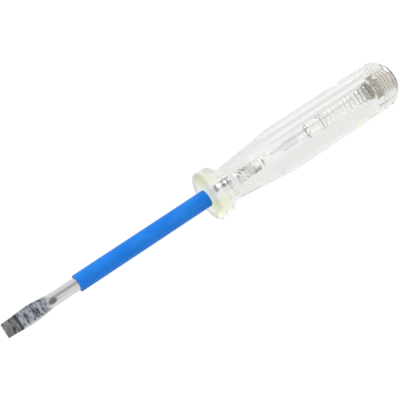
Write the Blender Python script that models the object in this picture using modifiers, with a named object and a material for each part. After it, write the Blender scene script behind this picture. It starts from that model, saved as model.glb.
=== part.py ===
"""Voltage tester screwdriver: a clear moulded handle on a blade, with the tester's row of pieces in its bore.

The blade's tip is at the origin and the tool's axis runs along +X to the tail. One flat of the grip faces down.
Everything is in metres, +Z up.
"""

from math import acos, atan2, ceil, cos, floor, pi, radians, sin, sqrt, tan

import bmesh
import bpy
from mathutils import Matrix, Vector

MM = 0.001

# Clearances
END_GAP = 0.3 * MM  # between pieces that press on each other end to end
MOULD_GAP = 0.15 * MM  # between the plastic and the steel moulded into it
SLEEVE_PLAY = 0.15 * MM  # between the sleeve and the shank, each side
CAP_PLAY = 0.12 * MM  # between a cap and what it is pressed on to
LEAD_PLAY = 0.12 * MM  # round a lead where it passes through glass or a cap
BORE_PLAY = 0.85 * MM  # between the widest loose piece and the bore, each side
THREAD_PLAY = 0.15 * MM  # radial play of the plug's thread
FLANK_PLAY = 0.12 * MM  # play of the plug's thread along the axis, each side
HEAD_PLAY = 0.15 * MM  # round the plug's head in its recess
HEAD_SEAT_GAP = 0.2 * MM  # under the plug's head
WELD_GAP = 0.1 * MM  # between a lead and the electrode welded on it
OVERRUN = 1.0 * MM  # how far a cutter runs past what it cuts
MERGE = 0.001 * MM  # merge distance of caps and seams

# Blade and shank
SHANK_DIAMETER = 4.0 * MM
SHANK_REACH = 69.6 * MM  # from the blade's tip to the guard
SHANK_EMBEDDED = 10.4 * MM  # the part of the shank inside the plastic
SHANK_PROUD = 0.4 * MM  # how far its inner end stands out into the bore
BLADE_TIP_WIDTH = 4.5 * MM
BLADE_TIP_THICKNESS = 0.8 * MM
BLADE_WIDEST = 5.3 * MM
BLADE_GROUND_LENGTH = 4.9 * MM
BLADE_LENGTH = 16.6 * MM  # from the tip to where the flats run out on the round shank
BLADE_WIDEST_SHARE = 0.52  # of the blade's length
BLADE_TURN = radians(34.0)  # how far the blade's flat is turned from facing up
WING_SPAN = 5.8 * MM
WING_LENGTH = 4.0 * MM
WING_THICKNESS = 1.2 * MM
WING_SETBACK = 5.0 * MM  # from the guard's front face

# Insulating sleeve
BARE_SHANK = 23.9 * MM  # from the blade's tip to the sleeve
SLEEVE_WALL = 0.5 * MM
SLEEVE_EDGE = 0.12 * MM

# Handle
HANDLE_LENGTH = 69.7 * MM  # from the guard's front face to the plastic's tail end
GUARD_DIAMETER = 15.9 * MM
GUARD_THICKNESS = 4.3 * MM
GUARD_EDGE_ROUND = 0.8 * MM
GUARD_BACK_LENGTH = 2.9 * MM
NECK_DIAMETER = 10.7 * MM
NECK_ROUND = 2.2 * MM
FLARE_LENGTH = 20.8 * MM
FLARE_ROUND = 30.0 * MM
GRIP_DIAMETER = 15.3 * MM  # over its rounded corners
GRIP_ACROSS_FLATS = 14.4 * MM
TAIL_ROUND = 4.6 * MM
TAIL_LIP = 0.45 * MM  # the plastic left round the plug's recess

# Resistor
RESISTOR_LENGTH = 9.0 * MM
RESISTOR_DIAMETER = 4.2 * MM  # over its caps
RESISTOR_FRONT_CAP_LENGTH = 3.6 * MM
RESISTOR_REAR_CAP_LENGTH = 3.0 * MM
RESISTOR_CAP_WALL = 0.25 * MM

# Glow lamp
LAMP_LENGTH = 21.1 * MM
LAMP_DIAMETER = 4.5 * MM  # over its caps
LAMP_FRONT_CAP_LENGTH = 2.6 * MM
LAMP_REAR_CAP_LENGTH = 3.6 * MM
LAMP_CAP_WALL = 0.22 * MM
GLASS_WALL = 0.4 * MM
LEAD_DIAMETER = 0.5 * MM
LEAD_BEND_LENGTH = 1.6 * MM  # in which a lead bends out to its electrode
ELECTRODE_DIAMETER = 0.8 * MM
ELECTRODE_LENGTH = 9.0 * MM
ELECTRODE_SPACING = 1.5 * MM  # between the two rods' axes
ELECTRODE_OVERLAP = 5.0 * MM  # how far the two lie side by side

# Contact spring
SPRING_DIAMETER = 4.5 * MM
SPRING_WIRE = 0.5 * MM
SPRING_PITCH = 1.5 * MM
SPRING_END_PITCH = 1.0 * MM

# End plug
PLUG_LENGTH = 8.5 * MM
PLUG_PROUD = 0.7 * MM  # how far it stands out of the plastic
PLUG_EDGE = 0.25 * MM
HEAD_DIAMETER = 10.4 * MM
HEAD_THICKNESS = 1.0 * MM
THREAD_DIAMETER = 9.9 * MM
THREAD_DEPTH = 0.5 * MM
THREAD_PITCH = 1.0 * MM
THREAD_LENGTH = 5.0 * MM
THREAD_CREST_WIDTH = 0.15 * MM
THREAD_ROOT_WIDTH = 0.6 * MM
THREAD_SINK = 0.15 * MM  # how deep a ridge is sunk into what carries it
SLOT_WIDTH = 1.3 * MM
SLOT_DEPTH = 1.6 * MM

# Counts
HANDLE_SEGMENTS = 48
BORE_SEGMENTS = 32
PIECE_SEGMENTS = 24
ARC_STEPS = 4
TAIL_STEPS = 6
BLADE_SECTIONS = 8
GRIP_FLATS = 8
THREAD_STEPS = 24
FADE_STEPS = 8
GROOVE_LEAD_STEPS = 12  # how far the handle's groove starts before the plug's ridge
SPRING_POINTS = 9
SPRING_END_TURNS = 1

SHARP_ANGLE = radians(35.0)  # edges steeper than this stay sharp in the shading

# Places along the axis and radii that follow from the sizes above
guard_front = SHANK_REACH
guard_back = guard_front + GUARD_THICKNESS
neck_at = guard_back + GUARD_BACK_LENGTH
grip_start = neck_at + FLARE_LENGTH
tail_end = guard_front + HANDLE_LENGTH
shank_end = guard_front + SHANK_EMBEDDED
resistor_front = shank_end + END_GAP
resistor_back = resistor_front + RESISTOR_LENGTH
lamp_front = resistor_back + END_GAP
lamp_back = lamp_front + LAMP_LENGTH
plug_back = tail_end + PLUG_PROUD
plug_front = plug_back - PLUG_LENGTH
head_front = plug_back - HEAD_THICKNESS
thread_front = head_front - THREAD_LENGTH
spring_front = lamp_back + END_GAP
spring_back = plug_front - END_GAP
shank_radius = SHANK_DIAMETER / 2
guard_radius = GUARD_DIAMETER / 2
grip_radius = GRIP_DIAMETER / 2
thread_radius = THREAD_DIAMETER / 2
core_radius = thread_radius - THREAD_DEPTH
head_radius = HEAD_DIAMETER / 2
recess_radius = head_radius + HEAD_PLAY
bore_radius = max(RESISTOR_DIAMETER, LAMP_DIAMETER, SPRING_DIAMETER) / 2 + BORE_PLAY


def new_collection(name):
    """A collection in the scene."""
    collection = bpy.data.collections.new(name)
    bpy.context.scene.collection.children.link(collection)
    return collection


def finish(name, colour, roughness, metallic=0.0, transmission=0.0):
    """A Principled material with the finish seen in the photo."""
    made = bpy.data.materials.new(name)
    made.use_nodes = True
    shader = made.node_tree.nodes["Principled BSDF"]
    shader.inputs["Base Color"].default_value = (*colour, 1.0)
    shader.inputs["Roughness"].default_value = roughness
    shader.inputs["Metallic"].default_value = metallic
    shader.inputs["Transmission Weight"].default_value = transmission
    return made


def place(name, data, look=None):
    """A new object with its material, or a cutter where it has none."""
    made = bpy.data.objects.new(name, data)
    if look:
        parts.objects.link(made)
        data.materials.append(look)
    else:
        cutters.objects.link(made)
        made.hide_render = True
        made.display_type = "WIRE"
    return made


def place_mesh(name, bm, look=None):
    """Turns a bmesh into an object, with its faces pointing out."""
    bmesh.ops.recalc_face_normals(bm, faces=bm.faces)
    mesh = bpy.data.meshes.new(name)
    bm.to_mesh(mesh)
    bm.free()
    mesh.shade_smooth()
    mesh.set_sharp_from_angle(angle=SHARP_ANGLE)
    return place(name, mesh, look)


def turned(name, profile, segments, look=None, ring=False):
    """A solid turned round the tool's axis from (place, radius) points, listed from front to back."""
    bm = bmesh.new()
    # The mesh turns about its own Z axis, which the object lays along X, and its outer side runs down.
    verts = [bm.verts.new((radius, 0, along)) for along, radius in reversed(profile)]
    for first, second in zip(verts, verts[1:]):
        bm.edges.new((first, second))
    if ring:
        bm.edges.new((verts[-1], verts[0]))
    mesh = bpy.data.meshes.new(name)
    bm.to_mesh(mesh)
    bm.free()
    made = place(name, mesh, look)
    made.rotation_euler.y = pi / 2
    screw = made.modifiers.new("turn", "SCREW")
    screw.axis = "Z"
    screw.steps = segments
    screw.render_steps = segments
    screw.use_merge_vertices = True
    screw.merge_threshold = MERGE
    return made


def combine(made, other, operation):
    """Joins the other solid to it, cuts it away or keeps what both hold."""
    modifier = made.modifiers.new(other.name, "BOOLEAN")
    modifier.operation = operation
    modifier.object = other


def arc(centre, radius, begin, turn, steps):
    """Points of an arc in a profile's plane, with its angles counted from the axis towards the outside."""
    angles = [begin + turn * step / steps for step in range(steps + 1)]
    return [(centre[0] + radius * cos(angle), centre[1] + radius * sin(angle)) for angle in angles]


def rounded(corners):
    """An outline past (place, radius, rounding) corners, each inner one with its rounding as an arc."""
    points = []
    for before, corner, after in zip(corners, corners[1:], corners[2:]):
        at = Vector(corner[:2])
        back = (Vector(before[:2]) - at).normalized()
        onward = (Vector(after[:2]) - at).normalized()
        half_angle = acos(back.dot(onward)) / 2
        rounding = corner[2]
        centre = at + (back + onward).normalized() * rounding / sin(half_angle)
        start = at + back * rounding / tan(half_angle) - centre
        end = at + onward * rounding / tan(half_angle) - centre
        begin = atan2(start.y, start.x)
        turn = (atan2(end.y, end.x) - begin + pi) % (2 * pi) - pi
        points += arc(centre, rounding, begin, turn, ARC_STEPS)
    return points


def grow(bm, faces, reach):
    """Extrudes faces by a vector."""
    grown = bmesh.ops.extrude_face_region(bm, geom=faces)["geom"]
    verts = [item for item in grown if isinstance(item, bmesh.types.BMVert)]
    bmesh.ops.translate(bm, verts=verts, vec=reach)


def disc(bm, sides, radius, at):
    """A flat polygon square to the tool's axis, with one of its sides facing down."""
    verts = bmesh.ops.create_circle(bm, cap_ends=True, segments=sides, radius=radius)["verts"]
    bmesh.ops.rotate(bm, verts=verts, matrix=Matrix.Rotation(pi / sides, 3, "Z"))
    bmesh.ops.rotate(bm, verts=verts, matrix=Matrix.Rotation(pi / 2, 3, "Y"))
    bmesh.ops.translate(bm, verts=verts, vec=(at, 0, 0))


def bar(name, sides, radius, front, back):
    """A straight bar along the tool's axis, with one of its sides facing down."""
    bm = bmesh.new()
    disc(bm, sides, radius, front)
    grow(bm, bm.faces[:], (back - front, 0, 0))
    return place_mesh(name, bm)


def box(name, low, high):
    """A box between two corners."""
    bm = bmesh.new()
    bmesh.ops.create_cube(bm, size=1.0)
    bmesh.ops.scale(bm, verts=bm.verts, vec=Vector(high) - Vector(low))
    bmesh.ops.translate(bm, verts=bm.verts, vec=(Vector(high) + Vector(low)) / 2)
    return place_mesh(name, bm)


def wire(name, points, diameter, resolution, look):
    """A round wire or rod through the points, with filled ends."""
    curve = bpy.data.curves.new(name, "CURVE")
    curve.dimensions = "3D"
    curve.bevel_depth = diameter / 2
    curve.bevel_resolution = resolution
    curve.use_fill_caps = True
    spline = curve.splines.new("POLY")
    spline.points.add(len(points) - 1)
    for slot, point in zip(spline.points, points):
        slot.co = (*point, 1.0)
    return place(name, curve, look)


# Thread: the plug's ridge and the handle's groove follow one right-hand helix
def thread_angle(along):
    """The angle round the axis at which the thread's crest passes a place along it."""
    return 2 * pi * (along - thread_front) / THREAD_PITCH


def thread_ridge(name, first_step, last_step, base_radius, crest_radius, play, fading):
    """The ridge between two steps of the helix, as a loft that fades out at its ends where asked to."""
    bm = bmesh.new()
    lowest = base_radius - THREAD_SINK
    flank = (THREAD_ROOT_WIDTH - THREAD_CREST_WIDTH) / 2 / THREAD_DEPTH
    sections = []
    for step in range(first_step, last_step + 1):
        along = thread_front + THREAD_ROOT_WIDTH / 2 + THREAD_PITCH * step / THREAD_STEPS
        fade = 1.0
        if fading:
            fade = min(step - first_step + 1, last_step - step + 1, FADE_STEPS) / FADE_STEPS
        crest = base_radius + (crest_radius - base_radius) * fade
        half_crest = THREAD_CREST_WIDTH / 2 + play
        half_base = half_crest + flank * (crest - lowest)
        outline = ((-half_base, lowest), (-half_crest, crest), (half_crest, crest), (half_base, lowest))
        angle = thread_angle(along)
        sections.append(
            [bm.verts.new((along + shift, radius * cos(angle), radius * sin(angle))) for shift, radius in outline]
        )
    for front, back in zip(sections, sections[1:]):
        for corner in range(len(front)):
            beside = (corner + 1) % len(front)
            bm.faces.new((front[corner], front[beside], back[beside], back[corner]))
    bm.faces.new(sections[0])
    bm.faces.new(sections[-1])
    return place_mesh(name, bm)


# Blade and shank
def blade_half_width(along):
    """Half the forged blade's width: it swells from the tip and draws in again to the round shank."""
    widest_at = BLADE_LENGTH * BLADE_WIDEST_SHARE
    if along < widest_at:
        near, far, share = BLADE_TIP_WIDTH, BLADE_WIDEST, along / widest_at
    else:
        near, far = BLADE_WIDEST, SHANK_DIAMETER
        share = min(1.0, (along - widest_at) / (BLADE_LENGTH - widest_at))
    return (near + (far - near) * (1 - cos(pi * share)) / 2) / 2


def blade_sides():
    """The cutter that leaves the blade between its two flats: level at the tip, then a wedge up to the shank."""
    half_tip = BLADE_TIP_THICKNESS / 2
    slope = (shank_radius - half_tip) / (BLADE_LENGTH - BLADE_GROUND_LENGTH)
    clear = BLADE_LENGTH + OVERRUN
    high = half_tip + slope * (clear - BLADE_GROUND_LENGTH)
    far = shank_end + OVERRUN
    upper = [(0, half_tip), (BLADE_GROUND_LENGTH, half_tip), (clear, high), (far, high)]
    lower = [(along, -height) for along, height in reversed(upper)]
    half_depth = BLADE_WIDEST / 2 + OVERRUN
    bm = bmesh.new()
    side = bm.faces.new([bm.verts.new((along, -half_depth, height)) for along, height in upper + lower])
    grow(bm, [side], (0, half_depth + half_depth, 0))
    return place_mesh("blade_sides", bm)


def wing_box(name, gap):
    """The flat wings pressed out of the shank, grown by a gap all round."""
    front = guard_front + WING_SETBACK
    low = (front - gap, -WING_SPAN / 2 - gap, -WING_THICKNESS / 2 - gap)
    high = (front + WING_LENGTH + gap, WING_SPAN / 2 + gap, WING_THICKNESS / 2 + gap)
    return box(name, low, high)


def make_blade_shank(look):
    bm = bmesh.new()
    disc(bm, PIECE_SEGMENTS, shank_radius, -OVERRUN)
    grow(bm, bm.faces[:], (shank_end + OVERRUN, 0, 0))
    for section in range(BLADE_SECTIONS + 1):
        at = (BLADE_LENGTH * section / BLADE_SECTIONS, 0, 0)
        bmesh.ops.bisect_plane(bm, geom=bm.verts[:] + bm.edges[:] + bm.faces[:], plane_co=at, plane_no=(1, 0, 0))
    for vert in bm.verts:
        vert.co.y *= blade_half_width(max(vert.co.x, 0)) / shank_radius
    shank = place_mesh("blade_shank", bm, look)
    sides = blade_sides()
    wings = wing_box("shank_wings", 0)
    for piece in (shank, sides, wings):
        piece.rotation_euler.x = BLADE_TURN
    combine(shank, sides, "INTERSECT")
    combine(shank, wings, "UNION")


def make_sleeve(look):
    inner = shank_radius + SLEEVE_PLAY
    outer = inner + SLEEVE_WALL
    back = guard_front - END_GAP
    profile = [
        (BARE_SHANK, inner),
        (BARE_SHANK, outer - SLEEVE_EDGE),
        (BARE_SHANK + SLEEVE_EDGE, outer),
        (back - SLEEVE_EDGE, outer),
        (back, outer - SLEEVE_EDGE),
        (back, inner),
    ]
    turned("insulating_sleeve", profile, PIECE_SEGMENTS, look, ring=True)


# Handle
def handle_outline():
    """The moulding's outside: guard, neck, flare, grip and the tail's rounding."""
    outline = rounded(
        [
            (guard_front, 0, 0),
            (guard_front, guard_radius, GUARD_EDGE_ROUND),
            (guard_back, guard_radius, GUARD_EDGE_ROUND),
            (neck_at, NECK_DIAMETER / 2, NECK_ROUND),
            (grip_start, grip_radius, FLARE_ROUND),
            (tail_end, grip_radius, 0),
        ]
    )
    centre_radius = grip_radius - TAIL_ROUND
    end_radius = recess_radius + TAIL_LIP
    end_angle = atan2(end_radius - centre_radius, sqrt(TAIL_ROUND**2 - (end_radius - centre_radius) ** 2))
    centre = (tail_end - TAIL_ROUND * cos(end_angle), centre_radius)
    tail = arc(centre, TAIL_ROUND, pi / 2, end_angle - pi / 2, TAIL_STEPS)
    return [(guard_front, 0)] + outline + tail + [(tail_end, 0)]


def bore_outline():
    """The stepped bore: the shank's hole, the bore of the loose pieces, the thread's core and the head's recess."""
    hole_radius = shank_radius + MOULD_GAP
    thread_bore_radius = core_radius + THREAD_PLAY
    bore_front = shank_end - SHANK_PROUD
    thread_bore_front = plug_front - END_GAP
    recess_front = head_front - HEAD_SEAT_GAP
    outside = tail_end + OVERRUN
    return [
        (guard_front - OVERRUN, 0),
        (guard_front - OVERRUN, hole_radius),
        (bore_front, hole_radius),
        (bore_front, bore_radius),
        (thread_bore_front, bore_radius),
        (thread_bore_front, thread_bore_radius),
        (recess_front, thread_bore_radius),
        (recess_front, recess_radius),
        (outside, recess_radius),
        (outside, 0),
    ]


def grip_flats_cutter():
    """A ring that leaves a bar with flat sides inside it, from the neck to past the tail."""
    corner_radius = GRIP_ACROSS_FLATS / 2 / cos(pi / GRIP_FLATS)
    back = tail_end + OVERRUN
    ring = bar("grip_ring", HANDLE_SEGMENTS, guard_radius + OVERRUN, neck_at, back)
    inside = bar("grip_bar", GRIP_FLATS, corner_radius, neck_at - OVERRUN, back + OVERRUN)
    combine(ring, inside, "DIFFERENCE")
    return ring


def make_handle(look):
    handle = turned("handle", handle_outline(), HANDLE_SEGMENTS, look)
    wings = wing_box("wings_space", MOULD_GAP)
    wings.rotation_euler.x = BLADE_TURN
    groove_steps = ceil((tail_end - thread_front) / THREAD_PITCH * THREAD_STEPS)
    groove = thread_ridge(
        "thread_groove",
        -GROOVE_LEAD_STEPS,
        groove_steps,
        core_radius + THREAD_PLAY,
        thread_radius + THREAD_PLAY,
        FLANK_PLAY,
        fading=False,
    )
    combine(handle, grip_flats_cutter(), "DIFFERENCE")
    combine(handle, turned("handle_bore", bore_outline(), BORE_SEGMENTS), "DIFFERENCE")
    combine(handle, groove, "DIFFERENCE")
    combine(handle, wings, "DIFFERENCE")


# Resistor and lamp
def make_cap(name, open_at, closed_at, outer_diameter, wall, look, hole_diameter=0):
    """A pressed metal cup from its open mouth to its closed end, with a lead's hole where it has one."""
    facing = 1 if closed_at > open_at else -1
    outer = outer_diameter / 2
    floor_at = closed_at - facing * wall
    corner = wall / 2
    hole = hole_diameter / 2
    profile = [
        (floor_at, hole),
        (floor_at, outer - wall),
        (open_at, outer - wall),
        (open_at, outer),
        (closed_at - facing * corner, outer),
        (closed_at, outer - corner),
        (closed_at, hole),
    ]
    if facing < 0:
        profile.reverse()
    turned(name, profile, PIECE_SEGMENTS, look, ring=hole > 0)


def make_resistor(body_look, cap_look):
    inside = RESISTOR_CAP_WALL + CAP_PLAY
    front_mouth = resistor_front + RESISTOR_FRONT_CAP_LENGTH
    rear_mouth = resistor_back - RESISTOR_REAR_CAP_LENGTH
    make_cap("resistor_front_cap", front_mouth, resistor_front, RESISTOR_DIAMETER, RESISTOR_CAP_WALL, cap_look)
    make_cap("resistor_rear_cap", rear_mouth, resistor_back, RESISTOR_DIAMETER, RESISTOR_CAP_WALL, cap_look)
    body_radius = RESISTOR_DIAMETER / 2 - inside
    body_front = resistor_front + inside
    body_back = resistor_back - inside
    profile = [(body_front, 0), (body_front, body_radius), (body_back, body_radius), (body_back, 0)]
    turned("resistor_body", profile, PIECE_SEGMENTS, body_look)


def glass_outline():
    """The envelope's wall: a tube with domed ends, each left open round its lead."""
    inside = LAMP_CAP_WALL + CAP_PLAY
    outer = LAMP_DIAMETER / 2 - inside
    inner = outer - GLASS_WALL
    front = lamp_front + inside
    back = lamp_back - inside
    hole = LEAD_DIAMETER / 2 + LEAD_PLAY
    front_dome = arc((front + outer, 0), outer, pi - atan2(hole, outer), atan2(hole, outer) - pi / 2, TAIL_STEPS)
    back_dome = arc((back - outer, 0), outer, pi / 2, atan2(hole, outer) - pi / 2, TAIL_STEPS)
    front_hollow = arc((front + outer, 0), inner, pi - atan2(hole, inner), atan2(hole, inner) - pi / 2, TAIL_STEPS)
    back_hollow = arc((back - outer, 0), inner, pi / 2, atan2(hole, inner) - pi / 2, TAIL_STEPS)
    return front_dome + back_dome + list(reversed(front_hollow + back_hollow))


def make_lamp(glass_look, cap_look, lead_look, electrode_look):
    turned("lamp_glass", glass_outline(), PIECE_SEGMENTS, glass_look, ring=True)
    hole = LEAD_DIAMETER + LEAD_PLAY * 2
    middle = (lamp_front + lamp_back) / 2
    ends = (
        ("front", lamp_front, lamp_front + LAMP_FRONT_CAP_LENGTH, 1),
        ("rear", lamp_back, lamp_back - LAMP_REAR_CAP_LENGTH, -1),
    )
    for name, closed_at, mouth_at, inward in ends:
        make_cap(f"lamp_{name}_cap", mouth_at, closed_at, LAMP_DIAMETER, LAMP_CAP_WALL, cap_look, hole)
        aside = inward * ELECTRODE_SPACING / 2
        rod_tip = middle + inward * ELECTRODE_OVERLAP / 2
        rod_root = rod_tip - inward * ELECTRODE_LENGTH
        rod = [(rod_root, 0, aside), (rod_tip, 0, aside)]
        wire(f"lamp_{name}_electrode", rod, ELECTRODE_DIAMETER, 2, electrode_look)
        lead_end = rod_root - inward * WELD_GAP
        straight_end = lead_end - inward * LEAD_DIAMETER
        bend = straight_end - inward * LEAD_BEND_LENGTH
        lead = [(closed_at, 0, 0), (bend, 0, 0), (straight_end, 0, aside), (lead_end, 0, aside)]
        wire(f"lamp_{name}_lead", lead, LEAD_DIAMETER, 1, lead_look)


# Contact spring
def spring_route():
    """Points along the wire: its ends stand square on what they press, with closer coils next to them."""
    radius = (SPRING_DIAMETER - SPRING_WIRE) / 2
    coils_front = spring_front + SPRING_WIRE
    coils_back = spring_back - SPRING_WIRE
    end_length = SPRING_END_PITCH * SPRING_END_TURNS
    open_length = coils_back - coils_front - end_length - end_length
    open_turns = max(1, round(open_length / SPRING_PITCH))
    open_pitch = open_length / open_turns
    turns = SPRING_END_TURNS + open_turns + SPRING_END_TURNS
    points = [(spring_front, radius, 0)]
    for step in range(turns * SPRING_POINTS + 1):
        turn = step / SPRING_POINTS
        at_front = min(turn, SPRING_END_TURNS)
        at_back = max(0, turn - SPRING_END_TURNS - open_turns)
        along = coils_front + SPRING_END_PITCH * (at_front + at_back) + open_pitch * (turn - at_front - at_back)
        angle = 2 * pi * turn
        points.append((along, radius * cos(angle), radius * sin(angle)))
    points.append((spring_back, radius, 0))
    return points


def least_gap(points, diameter, apart):
    """The least gap of a tube to itself, between points at least so many steps apart."""
    gaps = [
        (Vector(points[one]) - Vector(points[other])).length - diameter
        for one in range(len(points))
        for other in range(one + apart, len(points))
    ]
    return min(gaps)


def make_spring(look):
    route = spring_route()
    wire("contact_spring", route, SPRING_WIRE, 1, look)
    gap = least_gap(route, SPRING_WIRE, SPRING_POINTS - 2)
    print(f"contact_spring: least gap to itself {gap / MM:.2f} mm")


# End plug
def plug_outline():
    """The plug's core and head, without its thread."""
    return [
        (plug_front, 0),
        (plug_front, core_radius - PLUG_EDGE),
        (plug_front + PLUG_EDGE, core_radius),
        (head_front, core_radius),
        (head_front, head_radius),
        (plug_back - PLUG_EDGE, head_radius),
        (plug_back, head_radius - PLUG_EDGE),
        (plug_back, 0),
    ]


def make_plug(look):
    plug = turned("end_plug", plug_outline(), HANDLE_SEGMENTS, look)
    last_step = floor((THREAD_LENGTH - THREAD_ROOT_WIDTH) / THREAD_PITCH * THREAD_STEPS)
    ridge = thread_ridge("plug_thread", 0, last_step, core_radius, thread_radius, 0, fading=True)
    slot_low = (plug_back - SLOT_DEPTH, -head_radius - OVERRUN, -SLOT_WIDTH / 2)
    slot_high = (plug_back + OVERRUN, head_radius + OVERRUN, SLOT_WIDTH / 2)
    combine(plug, ridge, "UNION")
    combine(plug, box("plug_slot", slot_low, slot_high), "DIFFERENCE")


for old in list(bpy.data.objects):
    bpy.data.objects.remove(old)

parts = new_collection("voltage_tester_screwdriver")
cutters = new_collection("cutters")

clear_plastic = finish("clear_plastic", (0.93, 0.94, 0.88), 0.08, transmission=0.9)
bright_steel = finish("bright_steel", (0.55, 0.56, 0.58), 0.3, metallic=1.0)
blue_pvc = finish("blue_pvc", (0.03, 0.22, 0.78), 0.5)
resistor_coat = finish("resistor_coat", (0.42, 0.47, 0.42), 0.5)
cap_metal = finish("cap_metal", (0.6, 0.6, 0.6), 0.3, metallic=1.0)
lamp_glass = finish("lamp_glass", (0.95, 0.96, 0.96), 0.03, transmission=1.0)
lead_wire = finish("lead_wire", (0.6, 0.42, 0.3), 0.35, metallic=1.0)
electrode_metal = finish("electrode_metal", (0.4, 0.4, 0.42), 0.4, metallic=1.0)
spring_steel = finish("spring_steel", (0.5, 0.5, 0.5), 0.3, metallic=1.0)
plug_metal = finish("plug_metal", (0.5, 0.48, 0.45), 0.3, metallic=1.0)

make_blade_shank(bright_steel)
make_sleeve(blue_pvc)
make_handle(clear_plastic)
make_resistor(resistor_coat, cap_metal)
make_lamp(lamp_glass, cap_metal, lead_wire, electrode_metal)
make_spring(spring_steel)
make_plug(plug_metal)
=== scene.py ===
"""Looks of the voltage tester screwdriver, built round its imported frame.

Shapes are built in millimetres along the tool's axis, which is +X from the blade's tip, and end up in metres.
"""

from math import acos, atan2, cos, pi, radians, sin, sqrt, tan

import bmesh
import bpy
from mathutils import Matrix, Vector


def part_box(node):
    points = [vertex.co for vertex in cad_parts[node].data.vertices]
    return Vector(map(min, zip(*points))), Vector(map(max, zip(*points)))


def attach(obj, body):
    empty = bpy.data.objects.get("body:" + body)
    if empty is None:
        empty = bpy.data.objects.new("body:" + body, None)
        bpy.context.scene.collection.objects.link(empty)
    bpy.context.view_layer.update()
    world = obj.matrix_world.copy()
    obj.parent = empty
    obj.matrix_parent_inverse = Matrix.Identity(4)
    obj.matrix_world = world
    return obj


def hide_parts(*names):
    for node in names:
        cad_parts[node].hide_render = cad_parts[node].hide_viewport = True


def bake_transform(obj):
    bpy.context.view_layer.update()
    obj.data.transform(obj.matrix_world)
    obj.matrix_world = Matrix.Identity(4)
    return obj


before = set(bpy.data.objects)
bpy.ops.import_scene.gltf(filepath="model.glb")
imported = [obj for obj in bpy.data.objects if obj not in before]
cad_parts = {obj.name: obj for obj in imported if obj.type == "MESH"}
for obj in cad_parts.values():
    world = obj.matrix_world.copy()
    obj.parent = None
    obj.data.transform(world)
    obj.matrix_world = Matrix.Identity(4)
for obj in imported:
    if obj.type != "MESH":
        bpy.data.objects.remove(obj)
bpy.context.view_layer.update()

MM = 0.001


def reach(node):
    """Where a node starts and ends along the axis, and how far out it goes."""
    low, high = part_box(node)
    return [round(value / MM, 3) for value in (low[0], high[0], high[2])]


# Places along the axis and radii of what the frame holds
SHANK_END = reach("blade_shank")[1]
SLEEVE_FRONT, _, SLEEVE_OUTER = reach("insulating_sleeve")
GUARD_FRONT, TAIL_END, GUARD = reach("handle")
RESISTOR_FRONT, RESISTOR_FRONT_MOUTH, RESISTOR_CAP = reach("resistor_front_cap")
RESISTOR_REAR_MOUTH, RESISTOR_BACK, _ = reach("resistor_rear_cap")
ROD_FRONT, ROD_BACK, ROD = reach("resistor_body")
LAMP_FRONT, LAMP_FRONT_MOUTH, LAMP_CAP = reach("lamp_front_cap")
LAMP_REAR_MOUTH, LAMP_BACK, _ = reach("lamp_rear_cap")
GLASS_OUTER = reach("lamp_glass")[2]
SPRING_FRONT, SPRING_BACK, _ = reach("contact_spring")
PLUG_FRONT, PLUG_BACK, PLUG_HEAD = reach("end_plug")

# Shank and blade
SHANK = 2.0
BLADE_END = 16.6
BLADE_GROUND_TO = 4.9
BLADE_TIP_HALF_WIDTH = 2.25
BLADE_WIDEST_HALF = 2.65
BLADE_WIDEST_AT = BLADE_END * 0.52
BLADE_HALF_THICKNESS = 0.4
WEDGE_RISE = 0.128  # of each side, for every millimetre along
SCOOP_AT, SCOOP_HALF_THICKNESS, SCOOP_RISE = 14.0, 1.565, 0.06
BLADE_TURN = radians(34.0)
WINGS = (4.0, 5.8, 1.2)  # length, width and thickness of the two together
WINGS_BEHIND_GUARD = 7.0
SLEEVE_INNER = 2.15

# Handle
GUARD_BACK = 73.9
GUARD_FRONT_ROUND, GUARD_BACK_ROUND = 1.3, 1.8
NECK_AT, NECK, NECK_ROUND = 76.8, 5.35, 2.2
GRIP_START, GRIP, GRIP_START_ROUND = 97.6, 7.65, 30.0
GRIP_FLATS, GRIP_APOTHEM = 8, 7.2
TAIL_ROUND, TAIL_LIP = 4.6, 5.8
HOLE = 2.03
BORE_FRONT, BORE = 79.6, 3.1
THREAD_BORE_FRONT, THREAD_BORE, THREAD_GROOVE = 131.2, 4.6, 5.1
RECESS_FRONT, RECESS = 138.8, 5.35

# Tail plug and its thread
PITCH = 1.0
HEAD_FRONT = 139.0
THREAD_FRONT, THREAD_BACK = 134.0, HEAD_FRONT - 0.15
THREAD_RUN_OUT = 0.4
TAPPED_FROM = THREAD_FRONT - 1
PLUG_CORE, PLUG_THREAD = 4.45, 4.95
SLOT_WIDTH, SLOT_DEPTH, CUTTER_LENGTH = 1.3, 1.6, 14

# What is loose in the bore
RESISTOR_SHEET = 0.25
LAMP_SHEET = 0.22
GLASS_INNER = 1.51
GLASS_INSET = 0.34  # of the domes from the caps' closed ends
LEAD_HOLE = 0.37
LEAD_WIRE = 0.5
LEAD_BEND, LEAD_STRAIGHT, LEAD_GAP = 1.6, 0.6, 0.1  # the last two are counted from the electrode
ELECTRODE, ELECTRODE_LENGTH, ELECTRODE_ASIDE, ELECTRODE_PAST_MIDDLE = 0.8, 9.0, 0.75, 2.5
SPRING_RADIUS, SPRING_WIRE = 2.0, 0.5
OPEN_PITCH, CLOSE_PITCH = 1.5, 1.0

# Where the photograph's light shows on the grip. Four numbers are a rise and a fall.
BRIGHT_SIDE = radians(25.1)  # about the axis, from straight up to the side that faces the view
LIT_ABOVE = (0.5, 2.0)
BAND_ALONG, BAND_ACROSS = (83.0, 86.0, 132.0, 134.0), (-2.8, -1.4, 2.9, 3.9)
STREAKS_ALONG, STREAKS_ACROSS = (88.0, 98.0, 130.0, 134.0), (0.2, 0.8)
GLINTS = ((122.8, 2.4, 5.8, 6.3), (127.0, 1.8, 6.6, 7.0))  # place and reach along, then a rise across
SHANK_SEEN_AT = 0.6  # across, where the shank shows through the guard

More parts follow.
